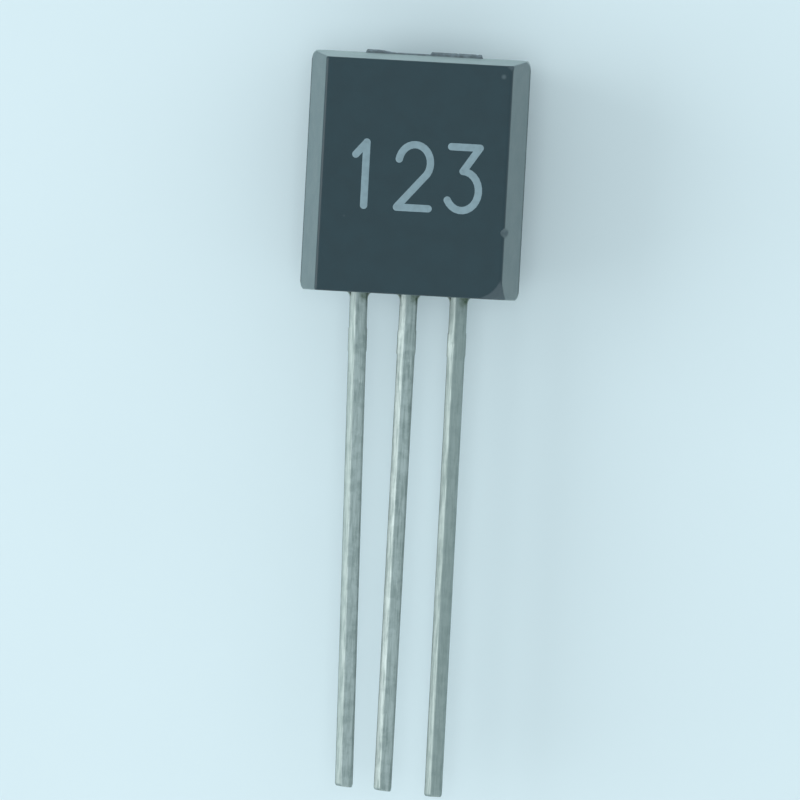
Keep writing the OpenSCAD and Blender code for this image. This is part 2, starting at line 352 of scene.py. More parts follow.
def surface(tree, shader, base_color, roughness, normal):
    """Wires what varies over a surface to its shader."""
    tree.links.new(base_color, shader["Base Color"])
    tree.links.new(roughness, shader["Roughness"])
    tree.links.new(normal, shader["Normal"])


def bump(tree, height, distance, strength=1.0, normal=None):
    """A normal that is tipped by a height, on top of another normal where one is given."""
    inputs = {"Height": height, "Distance": distance, "Strength": strength}
    if normal:
        inputs["Normal"] = normal
    return add_node(tree, "ShaderNodeBump", inputs).outputs["Normal"]


def mottled(tree, grain, plain, dark_tone, light_tone):
    """A plain colour that goes from a darker to a lighter tone of itself with the mottle."""
    dark, light = [rgba([value * tone for value in plain]) for tone in (dark_tone, light_tone)]
    return mixed(tree, grain["Mottle"], dark, light)


def stored_mask(tree, name):
    """A mask that the mesh carries."""
    return add_node(tree, "ShaderNodeAttribute", attribute_name=name).outputs["Fac"]


def spot(tree, place, size):
    """A round mask of one place on the surface, with a soft edge."""
    away = vector_math(tree, "DISTANCE", own_coordinates(tree)["Object"], place)
    return mapped(tree, away, size, size * 0.1)


def resin_material(resin):
    """Black moulding resin: matt spark-eroded skin, paler where broken, olive where it bled."""
    material, tree, shader = new_material(
        "black_resin", Roughness=0.4, IOR=1.5,
        Sheen_Weight=0.46, Sheen_Roughness=0.4, Sheen_Tint=(0.76, 1, 1, 1),
    )
    grain = place_group(tree, "Moulding grain", Grain_Size=0.045 * MM, Mottle_Size=0.45 * MM)
    specks = place_group(tree, "Dust specks", Spacing=0.42 * MM, Size=0.07)
    broken = stored_mask(tree, "broken")
    speck_place, speck_size = (2.13 * MM, 5.73 * MM, resin.front), 0.09 * MM
    pale_speck = product(tree, spot(tree, speck_place, speck_size), 0.25)
    dusty = product(tree, specks["Mask"], 0.05)
    skin = mottled(tree, grain, resin.resin, 0.94, 1.06)
    skin = mixed(tree, broken, skin, rgba(resin.broken))
    skin = mixed(tree, stored_mask(tree, "bleed"), skin, rgba(resin.bleed))
    skin = mixed(tree, pale_speck, skin, (0.2, 0.27, 0.3, 1))
    skin = mixed(tree, dusty, skin, (0.3, 0.36, 0.38, 1))
    rough = mapped(tree, grain["Mottle"], 0.0, 1.0, 0.34, 0.4, smooth=False)
    rough = calculate(tree, "ADD", rough, product(tree, broken, 0.3), clamp=True)
    surface(tree, shader, skin, rough, bump(tree, grain["Height"], 0.004 * MM, 0.55))
    return material


def scar_material(resin):
    """Freshly broken resin: rough, granular and without the dusty sheen of the skin."""
    material, tree, shader = new_material("broken_resin", Roughness=0.7, IOR=1.5)
    grain = place_group(tree, "Moulding grain", Grain_Size=0.03 * MM, Mottle_Size=0.12 * MM)
    torn = mottled(tree, grain, resin.scar, 0.7, 1.3)
    rough = mapped(tree, grain["Mottle"], 0.0, 1.0, 0.6, 0.8, smooth=False)
    surface(tree, shader, torn, rough, bump(tree, grain["Height"], 0.01 * MM, 0.8))
    return material


def tin_material(lead):
    """Dull tin plating with streaks along the lead, and a stain on the right of each root.

    The right lead is darker with tarnished tin all over. The faces that look to the left are darkened
    towards the left lead as painted shade, which tones down the light of the left lamp on them.
    """
    material, tree, shader = new_material("tin_plating", Metallic=1.0, Roughness=0.5)
    streaks = place_group(tree, "Drawn streaks", Width=0.05 * MM, Stretch=16.0)
    grain = place_group(tree, "Moulding grain", Grain_Size=0.03 * MM, Mottle_Size=0.12 * MM)
    worn = product(tree, streaks["Streak"], 0.62)
    worn = calculate(tree, "ADD", worn, product(tree, streaks["Patch"], 0.38), clamp=True)
    plating = mixed(tree, worn, rgba(lead.tin), rgba(lead.tarnish_and_shade_colour))

    own = own_coordinates(tree)
    place, facing = parted(tree, own["Object"]), parted(tree, own["Normal"])
    right_lead = mapped(tree, place["X"], 0.4 * MM, 1.0 * MM)
    # Painted shade: faces that look to the left, most on the left lead, take the darker streak colour to
    # tone down the left lamp's light on them.
    painted_shade_leftward = mapped(tree, place["X"], 0.4 * MM, -0.9 * MM)
    painted_shade_facing_left = mapped(tree, facing["X"], -0.25, -0.55)
    # First the right lead's tarnished tone, then the painted shade on the faces that look to the left.
    for tarnish_and_painted_shade in (product(tree, right_lead, 0.6), product(tree, painted_shade_facing_left, painted_shade_leftward, 0.62)):
        plating = mixed(tree, tarnish_and_painted_shade, plating, rgba(lead.tarnish_and_shade_colour))

    half_pitch = lead.pitch / 2
    across = calculate(tree, "WRAP", place["X"], half_pitch, -half_pitch)
    near_root = mapped(tree, place["Y"], -0.3 * MM, -0.08 * MM)
    right_side = mapped(tree, across, -0.04 * MM, 0.14 * MM)
    patchy = mapped(tree, grain["Mottle"], 0.0, 1.0, 0.55, 1.0)
    stain = product(tree, near_root, right_side, patchy)
    plating = mixed(tree, stain, plating, (0.09, 0.13, 0.085, 1))

    rough = mapped(tree, streaks["Streak"], 0.0, 1.0, 0.44, 0.56, smooth=False)
    drawn = bump(tree, streaks["Height"], 0.005 * MM, 0.5)
    surface(tree, shader, plating, rough, bump(tree, grain["Height"], 0.002 * MM, 0.4, drawn))
    return material


def ink_material(numbers):
    """Pale stamped ink, thin enough to take the grain of the resin."""
    material, tree, shader = new_material("pale_ink", Roughness=0.6)
    grain = place_group(tree, "Moulding grain", Grain_Size=0.045 * MM, Mottle_Size=0.16 * MM)
    film = mottled(tree, grain, numbers.ink, 0.9, 1.05)
    rough = mapped(tree, grain["Mottle"], 0.0, 1.0, 0.55, 0.68, smooth=False)
    surface(tree, shader, film, rough, bump(tree, grain["Height"], 0.004 * MM, 0.5))
    return material


def die_attach_material():
    """Silver-filled paste, matt and speckled."""
    material, tree, shader = new_material("silver_paste", Metallic=1.0, Roughness=0.6)
    grain = place_group(tree, "Moulding grain", Grain_Size=0.01 * MM, Mottle_Size=0.06 * MM)
    specks = place_group(tree, "Dust specks", Spacing=0.02 * MM, Size=0.3)
    paste = mixed(tree, grain["Mottle"], (0.5, 0.5, 0.48, 1), (0.66, 0.66, 0.63, 1))
    paste = mixed(tree, specks["Mask"], paste, (0.85, 0.85, 0.82, 1))
    rough = mapped(tree, grain["Mottle"], 0.0, 1.0, 0.5, 0.7)
    surface(tree, shader, paste, rough, bump(tree, grain["Height"], 0.003 * MM, 0.7))
    return material


def silicon_material():
    """Polished silicon with faint saw lines on its sides and a mottled passivation."""
    material, tree, shader = new_material("silicon", Metallic=0.3, Roughness=0.16, IOR=3.4)
    grain = place_group(tree, "Moulding grain", Grain_Size=0.012 * MM, Mottle_Size=0.09 * MM)
    streaks = place_group(tree, "Drawn streaks", Width=0.01 * MM, Stretch=30.0)
    tint = mixed(tree, grain["Mottle"], (0.09, 0.11, 0.16, 1), (0.13, 0.14, 0.2, 1))
    rough = mapped(tree, streaks["Streak"], 0.0, 1.0, 0.1, 0.24)
    surface(tree, shader, tint, rough, bump(tree, streaks["Height"], 0.001 * MM, 0.4))
    return material


def gold_material():
    """Drawn gold wire."""
    material, tree, shader = new_material("gold_wire", Metallic=1.0, Roughness=0.24)
    grain = place_group(tree, "Moulding grain", Grain_Size=0.008 * MM, Mottle_Size=0.08 * MM)
    tint = mixed(tree, grain["Mottle"], (0.83, 0.6, 0.2, 1), (0.92, 0.7, 0.3, 1))
    rough = mapped(tree, grain["Mottle"], 0.0, 1.0, 0.2, 0.32)
    surface(tree, shader, tint, rough, bump(tree, grain["Height"], 0.001 * MM, 0.4))
    return material


def spaced(start, stop, step):
    """Even steps from start to stop, each about as long as step."""
    count = max(1, round(abs(stop - start) / step))
    return [start + (stop - start) * i / count for i in range(count + 1)]


def arc(centre, radius, start, stop, steps):
    """Points and outward normals along an arc, by its angles in radians."""
    found = []
    for turn in [start + (stop - start) * i / steps for i in range(steps + 1)]:
        normal = Vector((math.cos(turn), math.sin(turn)))
        found.append((centre + radius * normal, normal))
    return found


def body_section(resin):
    """The section across the leads, anticlockwise from the right parting edge.

    Each entry is a point and the normal there, as (x, z) pairs.
    """
    half = resin.half_width - resin.parting_ridge
    corner = Vector((resin.flat_width / 2, resin.front - resin.face_skin))
    rise = (corner - Vector((half, 0))).normalized()
    steep, up = Vector((rise.y, -rise.x)), Vector((0, 1))
    centre = corner - resin.arris * (steep + up) / (1 + steep.dot(up))
    side_top = centre + resin.arris * steep
    side = [
        (Vector((half, 0)).lerp(side_top, t), steep)
        for t in (0, 0.01, 0.02, *spaced(0.04, 0.85, 0.045), 0.89, 0.93, 0.97)
    ]
    turned = arc(centre, resin.arris, math.atan2(steep.y, steep.x), math.pi / 2, 9)
    # The points stand closer near the edge of the face, where its corners are worn.
    end_zone, fine, coarse = centre.x - 0.5 * MM, 0.02 * MM, 0.1 * MM
    face = [(Vector((x, corner.y)), up) for x in spaced(centre.x, end_zone, fine)[1:]]
    face += [(Vector((x, corner.y)), up) for x in spaced(end_zone, 0, coarse)[1:]]
    right = side + turned + face
    left = [(Vector((-p.x, p.y)), Vector((-n.x, n.y))) for p, n in reversed(right[:-1])]
    back = arc(Vector((0, 0)), resin.back, math.pi, 2 * math.pi, 96)[:-1]
    squeeze = half / resin.back
    back = [(Vector((p.x * squeeze, p.y)), n) for p, n in back]
    return right + left[:-1] + back


def ridged(point, resin):
    """How far the parting line stands out at a point of the section."""
    ridge_half = 0.03 * MM
    return resin.parting_ridge * max(0.0, 1 - abs(point.y) / ridge_half)


def end_loss(x, z, resin, corner):
    """How far an end of the body lies in from the parting plane, by its draft and its corners."""
    drafted = abs(z) * math.tan(resin.end_draft)
    past = abs(x) - (resin.half_width - resin.parting_ridge - corner)
    if past <= 0:
        return drafted
    return max(drafted, corner - math.sqrt(max(corner**2 - past**2, 0)))


def end_rings(section, resin, corner):
    """Rings from the edge of an end to near its middle, as (x, z, distance in from the end).

    The edge is a quarter round, and each ring inside it is the last of those, shrunk.
    """
    edge, rings = resin.end_edge, []
    for step in range(7):
        turn = math.radians(15 * step)
        inset, drop = edge * (1 - math.cos(turn)), edge * (1 - math.sin(turn))
        places = [p - n * inset for p, n in section]
        rings.append([(p.x, p.y, end_loss(p.x, p.y, resin, corner) + drop) for p in places])
    near_edge = spaced(0.993, 0.9, 0.008)
    further_in = (0.88, 0.85, 0.81, 0.76, 0.68, 0.57, 0.44, 0.3, 0.16, 0.05)
    for shrink in (*near_edge, *further_in):
        shrunk = [p * shrink for p in places]
        rings.append([(p.x, p.y, end_loss(p.x, p.y, resin, corner)) for p in shrunk])
    return rings


def loft(mesh, rings, first_pole, last_pole):
    """Joins rings of points, all with the same count, and closes both ends on a pole."""
    rows = [[mesh.verts.new(place) for place in ring] for ring in rings]
    count = len(rows[0])
    for low, high in zip(rows, rows[1:]):
        for i in range(count):
            mesh.faces.new((low[i], low[(i + 1) % count], high[(i + 1) % count], high[i]))
    for row, pole in ((rows[0], first_pole), (rows[-1], last_pole)):
        tip = mesh.verts.new(pole)
        for i in range(count):
            mesh.faces.new((row[i], row[(i + 1) % count], tip))
    return [vertex for row in rows for vertex in row]


def capped_loft(mesh, rings):
    """Joins rings of points and closes each end on the middle of its last ring."""
    middles = [sum(ring, Vector()) / len(ring) for ring in (rings[0], rings[-1])]
    return loft(mesh, rings, *middles)


def moulding(mesh, resin, head):
    """The resin body as one closed skin, from the middle of its foot to the middle of its head."""
    section = body_section(resin)
    foot_rings = end_rings(section, resin, resin.foot_corner)
    head_rings = end_rings(section, resin, resin.head_corner)
    rings = [[Vector((x, loss, z)) for x, z, loss in ring] for ring in reversed(foot_rings)]
    low, high = rings[-1], [Vector((x, head - loss, z)) for x, z, loss in head_rings[0]]
    # Shares of the height: the rows stand closer near the ends, where the corners are worn.
    near_end, fine, coarse = 0.5 * MM / head, 0.003, 0.006
    shares = spaced(0, near_end, fine) + spaced(near_end, 1 - near_end, coarse)[1:]
    shares += spaced(1 - near_end, 1, fine)[1:]
    for t in shares[1:-1]:
        ring = []
        for (point, normal), a, b in zip(section, low, high):
            out = normal * ridged(point, resin)
            ring.append(a.lerp(b, t) + Vector((out.x, 0, out.y)))
        rings.append(ring)
    rings += [[Vector((x, head - loss, z)) for x, z, loss in ring] for ring in head_rings]
    loft(mesh, rings, (0, 0, 0), (0, head, 0))


def rub_corner(vertex, side, end, toward, radius, resin, rough):
    """Wears a corner of the flat face to a radius, ever steeper outwards. Returns the depth lost.

    Side is 1 at the right, end is where the face stops, and toward is 1 at the head.
    """
    first_slope, more_each_metre = 0.47, 2200
    rim, uneven = 0.02 * MM, 0.006 * MM
    centre = Vector((side * (resin.flat_width / 2 - radius), end - toward * radius))
    out = vertex.co.xy - centre
    if out.x * side <= 0 or out.y * toward <= 0 or vertex.co.z < resin.front / 2:
        return 0.0
    away = out.length - radius
    slope = first_slope + more_each_metre * max(away, 0.0)
    facing = Vector((*out.normalized() * slope, 1)).normalized()
    level = resin.front - (first_slope + slope) / 2 * away
    past = (vertex.co.z - level) * facing.z + uneven * rough
    if away < -rim or past <= 0:
        return 0.0
    vertex.co -= facing * past
    return past


def damage(mesh, resin, head, broken):
    """Wears the corners of the flat face, most where the chip is, and nicks its right edge."""
    nick_turn, nick_up = math.radians(60), 1.79 * MM
    lumps, grains = 0.09 * MM, 0.03 * MM
    uneven, skin_depth = 0.008 * MM, 0.02 * MM
    half, inset = resin.flat_width / 2, resin.front * math.tan(resin.end_draft)
    corners = (
        (1, inset, -1, resin.chip), (1, head - inset, 1, resin.head_wear),
        (-1, inset, -1, resin.left_wear), (-1, head - inset, 1, resin.left_wear),
    )
    nick_side = Vector((math.sin(nick_turn), 0, math.cos(nick_turn)))
    nick = Vector((half - resin.nick_reach, nick_up, resin.front))
    nick_depth = resin.nick_reach * nick_side.x
    for vertex in mesh.verts:
        rough = noise.noise(vertex.co / lumps) + 0.4 * noise.noise(vertex.co / grains)
        for side, end, toward, radius in corners:
            lost = rub_corner(vertex, side, end, toward, radius, resin, rough)
            if lost > 0:
                vertex[broken] = min(1.0, lost / skin_depth)
        from_nick = vertex.co - nick
        bowed = nick_depth * (2 * from_nick.y / resin.nick_height) ** 2
        past = from_nick.dot(nick_side) - bowed + uneven * rough
        if past > 0 and abs(from_nick.y) < resin.nick_height and vertex.co.z > resin.front / 2:
            vertex.co -= nick_side * past
            vertex[broken] = min(1.0, past / skin_depth)


def scar_height(x, resin):
    """Height of the broken strip on the head: vent flash, thin flash, gate."""
    torn = 0.03 * MM
    corners = [
        (VENT_LEFT, 0), (VENT_LEFT + torn, resin.vent_height), (VENT_RIGHT, resin.vent_height),
        (VENT_FOOT, resin.flash_height), (GATE_LEFT, resin.flash_height),
        (GATE_LEFT + torn, resin.gate_height), (GATE_RIGHT - torn, resin.gate_height),
        (GATE_RIGHT, 0),
    ]
    for (x0, h0), (x1, h1) in zip(corners, corners[1:]):
        if x0 <= x <= x1:
            return h0 + (h1 - h0) * (x - x0) / (x1 - x0)
    return 0.0


def head_scars(mesh, resin, head, broken):
    """What broke off at the gate and the vent, and the flash between them."""
    front, behind, sunk, step = 0.1 * MM, 0.16 * MM, 0.06 * MM, 0.02 * MM
    middle, half = (front - behind) / 2, (front + behind) / 2
    lumps, grains, waves = 0.06 * MM, 0.02 * MM, 0.15 * MM
    depths = spaced(-behind, front, step)
    rings = []
    for x in spaced(VENT_LEFT, GATE_RIGHT, step):
        height = scar_height(x, resin)
        wave = 0.012 * MM * noise.noise(Vector((x, 2, 0)) / waves)
        ring = [Vector((x, head - sunk, front)), Vector((x, head - sunk, -behind))]
        for z in depths:
            rough = noise.noise(Vector((x, 0, z)) / lumps) * 0.55
            rough += noise.noise(Vector((x, 1, z)) / grains) * 0.25
            tear = 1 - 0.45 * ((z - middle) / half) ** 2
            top = height * tear * (1 + min(0.0, rough))
            place = z + (wave if z in (depths[0], depths[-1]) else 0)
            ring.append(Vector((x, head + top, place)))
        rings.append(ring)
    for vertex in capped_loft(mesh, rings):
        vertex[broken] = 1.0
        for face in vertex.link_faces:
            face.material_index = SCAR_SLOT


def root_fillets(mesh, lead, resin, place, bleed):
    """The flash of resin that fills the corner between the foot and each side of a lead."""
    half, embedded, steps = lead.width / 2, 0.05 * MM, 8
    turns = [math.radians(90 * step / steps) for step in range(steps + 1)]
    for side in (-1, 1):
        uneven = noise.noise(Vector((place / MM, side, 0)))
        reach = resin.root_fillet * (1 + 0.3 * uneven)
        drop = resin.root_fillet * (1.6 - 0.3 * uneven)
        rings = []
        for share_out in spaced(-1, 1, 0.125):
            ragged = 1 + 0.12 * noise.noise(Vector((place / MM, side, 9 * share_out)))
            shrink = math.sqrt(1 - 0.9 * share_out**2) * ragged
            wide, down = reach * shrink, drop * shrink
            outline = [(-embedded, embedded), (wide, embedded)]
            outline += [(wide * (1 - math.sin(t)), down * (math.cos(t) - 1)) for t in turns]
            outline.append((-embedded, -down))
            z = share_out * resin.root_flash / 2
            rings.append([Vector((place + side * (half + out), up, z)) for out, up in outline])
        for vertex in capped_loft(mesh, rings):
            vertex[bleed] = 1.0


def lead_section(lead):
    """The section of a lead as (x, z) points, anticlockwise, with its rolled front edges."""
    half_w, half_t = lead.width / 2, lead.thickness / 2
    burr = 0.02 * MM

    def rolled(start, corner, stop, steps):
        """A rolled edge, bowed a little from its chord towards the sharp corner."""
        bowed = ((start + stop) / 2).lerp(corner, 0.14)
        places = []
        for t in [i / steps for i in range(steps + 1)]:
            places.append(start * (1 - t) ** 2 + bowed * 2 * t * (1 - t) + stop * t**2)
        return places

    def straight(start, stop, steps):
        return [start.lerp(stop, i / steps) for i in range(1, steps)]

    right_foot = Vector((half_w, half_t - lead.right_roll_depth))
    right_top = Vector((half_w - lead.right_roll_width, half_t))
    left_top = Vector((-half_w + lead.left_roll_width, half_t))
    left_foot = Vector((-half_w, half_t - lead.left_roll_depth))
    back_left, back_right = Vector((-half_w, -half_t)), Vector((half_w, -half_t))
    across, up = Vector((burr, 0)), Vector((0, burr))
    runs = [
        rolled(right_foot, Vector((half_w, half_t)), right_top, 5),
        straight(right_top, left_top, 7),
        rolled(left_top, Vector((-half_w, half_t)), left_foot, 8),
        straight(left_foot, back_left + up, 6),
        rolled(back_left + up, back_left, back_left + across, 2),
        straight(back_left + across, back_right - across, 8),
        rolled(back_right - across, back_right, back_right + up, 2),
        straight(back_right + up, right_foot, 7),
    ]
    return [place for run in runs for place in run]


def geometry_tree(name, kinds):
    """A geometry tree with an input of each named kind. Returns it with what its inputs give."""
    tree = bpy.data.node_groups.new(name, "GeometryNodeTree")
    for label, kind in kinds.items():
        tree.interface.new_socket(label, in_out="INPUT", socket_type="NodeSocket" + kind)
    tree.interface.new_socket("Geometry", in_out="OUTPUT", socket_type="NodeSocketGeometry")
    return tree, tree.nodes.new("NodeGroupInput").outputs


def finish_tree(tree, geometry, material):
    """Ends a geometry tree: its copies are made real and the whole gets its material."""
    whole = add_node(tree, "GeometryNodeRealizeInstances", {0: geometry})
    inputs = {"Geometry": whole.outputs[0], "Material": material}
    dressed = add_node(tree, "GeometryNodeSetMaterial", inputs)
    tree.links.new(dressed.outputs[0], tree.nodes.new("NodeGroupOutput").inputs[0])


def sweep_tree():
    """Geometry nodes that draw one lead: its section along its line, leaned, trimmed and cut."""
    kinds = {"Section": "Object", "Material": "Material", "Rings": "Int", "Seed": "Int"}
    numbers = (
        "Start", "Length", "Place", "Lean", "Slant", "Root", "Half Width", "Bar Drop",
        "Bar Height", "Bar Stub", "Streak Depth", "Mark Drop", "Mark Side", "Mark Size",
    )
    kinds.update({name: "Float" for name in numbers})
    tree, given = geometry_tree("Lead sweep", kinds)

    def times(*values):
        return product(tree, *values)

    def plus(first, second):
        return calculate(tree, "ADD", first, second)

    def minus(first, second):
        return calculate(tree, "SUBTRACT", first, second)

    ends = {
        "Start": combined(tree, y=given["Start"]),
        "End": combined(tree, y=times(given["Length"], -1.0)),
    }
    line = add_node(tree, "GeometryNodeCurvePrimitiveLine", ends).outputs[0]
    inputs = {"Curve": line, "Count": given["Rings"]}
    rings = add_node(tree, "GeometryNodeResampleCurve", inputs).outputs[0]
    section = add_node(tree, "GeometryNodeObjectInfo", {"Object": given["Section"]})
    inputs = {"Curve": rings, "Profile Curve": section.outputs["Geometry"], "Fill Caps": True}
    swept = add_node(tree, "GeometryNodeCurveToMesh", inputs).outputs[0]
    place = add_node(tree, "GeometryNodeInputPosition").outputs[0]
    at = parted(tree, place)

    # The trimmed dam bar stands out on both sides.
    side = calculate(tree, "SIGN", at["X"])
    from_middle = calculate(tree, "ABSOLUTE", at["X"])
    wide = mapped(tree, from_middle, times(given["Half Width"], 0.55), given["Half Width"])
    above_bar = plus(at["Y"], given["Bar Drop"])
    below_bar = plus(at["Y"], plus(given["Bar Drop"], given["Bar Height"]))
    in_bar = times(
        mapped(tree, below_bar, -0.03 * MM, 0.05 * MM), mapped(tree, above_bar, 0.03 * MM, -0.05 * MM)
    )
    stub = times(side, wide, in_bar, given["Bar Stub"])

    # The lead leans below its root.
    leaned = calculate(tree, "MAXIMUM", minus(times(at["Y"], -1.0), given["Root"]), 0.0)
    leaned = times(leaned, calculate(tree, "TANGENT", given["Lean"]))

    # The tip is cut at a slant, and its edge is drawn in.
    above_tip = plus(at["Y"], given["Length"])
    near_tip = mapped(tree, above_tip, 0.3 * MM, 0.0)
    cut = times(at["X"], calculate(tree, "TANGENT", given["Slant"]), near_tip, -1.0)
    drawn_in = mapped(tree, above_tip, 0.05 * MM, 0.0, 0.0, 0.12)
    pinch_x, pinch_z = times(at["X"], drawn_in, -1.0), times(at["Z"], drawn_in, -1.0)

    # Streaks along the lead and broader lumps, both sunk into the tin, and one pressed mark.
    streaks_each_metre, lumps_each_metre = 16000.0, 2600.0
    seeded = combined(tree, x=given["Seed"], y=given["Seed"])
    drawn = combined(tree, at["X"], times(at["Y"], 0.06), at["Z"])
    drawn = vector_math(tree, "SCALE", drawn, streaks_each_metre)
    streaks = noise_value(tree, vector_math(tree, "ADD", drawn, seeded), 1.0, 2.0)
    lumps = noise_value(tree, vector_math(tree, "ADD", place, seeded), lumps_each_metre, 2.0)
    sunk = plus(minus(streaks, 0.75), minus(times(lumps, 0.6), 0.42))
    sunk = calculate(tree, "MINIMUM", sunk, 0.0)
    mark = combined(tree, given["Mark Side"], times(given["Mark Drop"], -1.0), given["Half Width"])
    away = vector_math(tree, "DISTANCE", place, mark)
    dent = times(mapped(tree, away, given["Mark Size"], 0.0), -0.02 * MM)

    outward = add_node(tree, "GeometryNodeInputNormal").outputs[0]
    inwards = plus(times(sunk, given["Streak Depth"]), dent)
    pressed = vector_math(tree, "SCALE", outward, inwards)
    across = plus(plus(stub, leaned), plus(pinch_x, given["Place"]))
    both = vector_math(tree, "ADD", pressed, combined(tree, across, cut, pinch_z))
    moved = add_node(tree, "GeometryNodeSetPosition", {"Geometry": swept, "Offset": both})
    finish_tree(tree, moved.outputs[0], given["Material"])
    return tree


def made_by(tree, name, source=None, **values):
    """Runs a geometry tree on a new object and returns the plain mesh it makes."""
    data = source or bpy.data.meshes.new(name)
    holder = bpy.data.objects.new(name, data)
    bpy.context.scene.collection.objects.link(holder)
    modifier = holder.modifiers.new("make", "NODES")
    modifier.node_group = tree
    inputs = [item for item in tree.interface.items_tree if item.in_out == "INPUT"]
    sockets = {item.name: item.identifier for item in inputs}
    for key, value in values.items():
        modifier[sockets[key.replace("_", " ")]] = value
    evaluated = holder.evaluated_get(bpy.context.evaluated_depsgraph_get())
    mesh = bpy.data.meshes.new_from_object(evaluated)
    bpy.data.objects.remove(holder)
    return mesh


def new_piece(name, mesh, *replaced):
    """An object at the origin that rides on the one body, smooth apart from its sharp edges."""
    mesh.name = name
    mesh.shade_smooth()
    mesh.set_sharp_from_angle(angle=SMOOTH_BELOW)
    piece = bpy.data.objects.new(name, mesh)
    bpy.context.scene.collection.objects.link(piece)
    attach(piece, "root")
    if replaced:
        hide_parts(*replaced)
    return piece


def inner_head(node, cut):
    """A merged copy of a lead's mesh above the cut, closed there: the ears and the pad or post."""
    mesh = bmesh.new()
    mesh.from_mesh(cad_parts[node].data)
    bmesh.ops.remove_doubles(mesh, verts=mesh.verts, dist=0.0005 * MM)
    everything = mesh.verts[:] + mesh.edges[:] + mesh.faces[:]
    bmesh.ops.bisect_plane(
        mesh, geom=everything, plane_co=(0, cut, 0), plane_no=(0, 1, 0), clear_inner=True
    )
    rim = [edge for edge in mesh.edges if edge.is_boundary]
    bmesh.ops.holes_fill(mesh, edges=rim)
    return mesh


class TRANSISTOR_OT_moulded_body(bpy.types.Operator):
    """Make the resin body, with its scars, chip, nick and the resin at the lead roots"""

    bl_idname = "transistor.moulded_body"
    bl_label = "Moulded body"

    def execute(self, context):
        resin, lead = context.scene.transistor_resin, context.scene.transistor_lead
        head = BODY_HIGH.y - resin.gate_height
        mesh = bmesh.new()
        broken = mesh.verts.layers.float.new("broken")
        bleed = mesh.verts.layers.float.new("bleed")
        moulding(mesh, resin, head)
        damage(mesh, resin, head, broken)
        head_scars(mesh, resin, head, broken)
        for place in LEADS.values():
            root_fillets(mesh, lead, resin, place * lead.pitch, bleed)
        bmesh.ops.recalc_face_normals(mesh, faces=mesh.faces)
        data = bpy.data.meshes.new("resin_body")
        mesh.to_mesh(data)
        mesh.free()
        data.materials.append(resin_material(resin))
        data.materials.append(scar_material(resin))
        new_piece("resin_body", data, "moulded_body")
        return {"FINISHED"}


class TRANSISTOR_OT_leads(bpy.types.Operator):
    """Draw the three tinned leads along their lines"""

    bl_idname = "transistor.leads"
    bl_label = "Leads"

    def execute(self, context):
        lead = context.scene.transistor_lead
        tin, tree = tin_material(lead), sweep_tree()
        outline = bpy.data.curves.new("lead_section", "CURVE")
        outline.dimensions = "3D"
        spline = outline.splines.new("POLY")
        places = lead_section(lead)
        spline.points.add(len(places) - 1)
        for target, place in zip(spline.points, places):
            target.co = (-place.x, -place.y, 0, 1)
        spline.use_cyclic_u = True
        section = bpy.data.objects.new("lead_section", outline)
        # Lean, slant of the tip, and where the pressed mark lies: how far down and to the right.
        own = {
            "left_lead": (lead.left_lean, lead.tip_slant, 2.25 * MM, 0.08 * MM),
            "middle_lead": (0.0, lead.tip_slant, 1.75 * MM, 0.1 * MM),
            "right_lead": (lead.right_lean, 0.0, 1.2 * MM, -0.15 * MM),
        }
        for seed, (node, place) in enumerate(LEADS.items(), start=3):
            lean, slant, mark_drop, mark_side = own[node]
            mesh = made_by(
                tree, node, Section=section, Material=tin, Rings=440, Seed=seed,
                Start=lead.splice, Length=-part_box(node)[0].y - slack(lead, slant),
                Place=place * lead.pitch, Lean=lean, Slant=slant, Root=lead.root,
                Half_Width=lead.width / 2, Bar_Drop=lead.bar_drop, Bar_Height=lead.bar_height,
                Bar_Stub=lead.bar_stub, Streak_Depth=0.006 * MM, Mark_Drop=mark_drop,
                Mark_Side=mark_side, Mark_Size=0.12 * MM,
            )
            both = inner_head(node, lead.splice - 0.01 * MM)
            both.from_mesh(mesh)
            both.to_mesh(mesh)
            both.free()
            mesh.materials.clear()
            mesh.materials.append(tin)
            new_piece("tinned_" + node, mesh, node)
        bpy.data.objects.remove(section)
        return {"FINISHED"}


def slack(lead, slant):
    """How far the middle of a slanted tip lies above its lowest corner."""
    return lead.width / 2 * math.tan(slant)


def number_lines():
    """The strokes of the plain numbers 1, 2 and 3 as lists of (x, y), in a unit box."""
    def bowl(x, y, reach, rise, start, stop):
        turns = [math.radians(start + (stop - start) * i / 18) for i in range(19)]
        return [(x + reach * math.cos(turn), y + rise * math.sin(turn)) for turn in turns]

    one = [[(0.55, 0.0), (0.55, 1.0)], [(0.22, 0.8), (0.53, 0.985)]]
    two = [bowl(0.5, 0.71, 0.5, 0.29, 170, -35) + [(0.01, 0.01)], [(0.0, 0.0), (1.0, 0.0)]]
    three = [[(0.05, 1.0), (0.95, 1.0)], [(0.93, 0.985), (0.46, 0.625)]]
    three.append(bowl(0.45, 0.31, 0.52, 0.31, 90, -150))
    return [one, two, three]


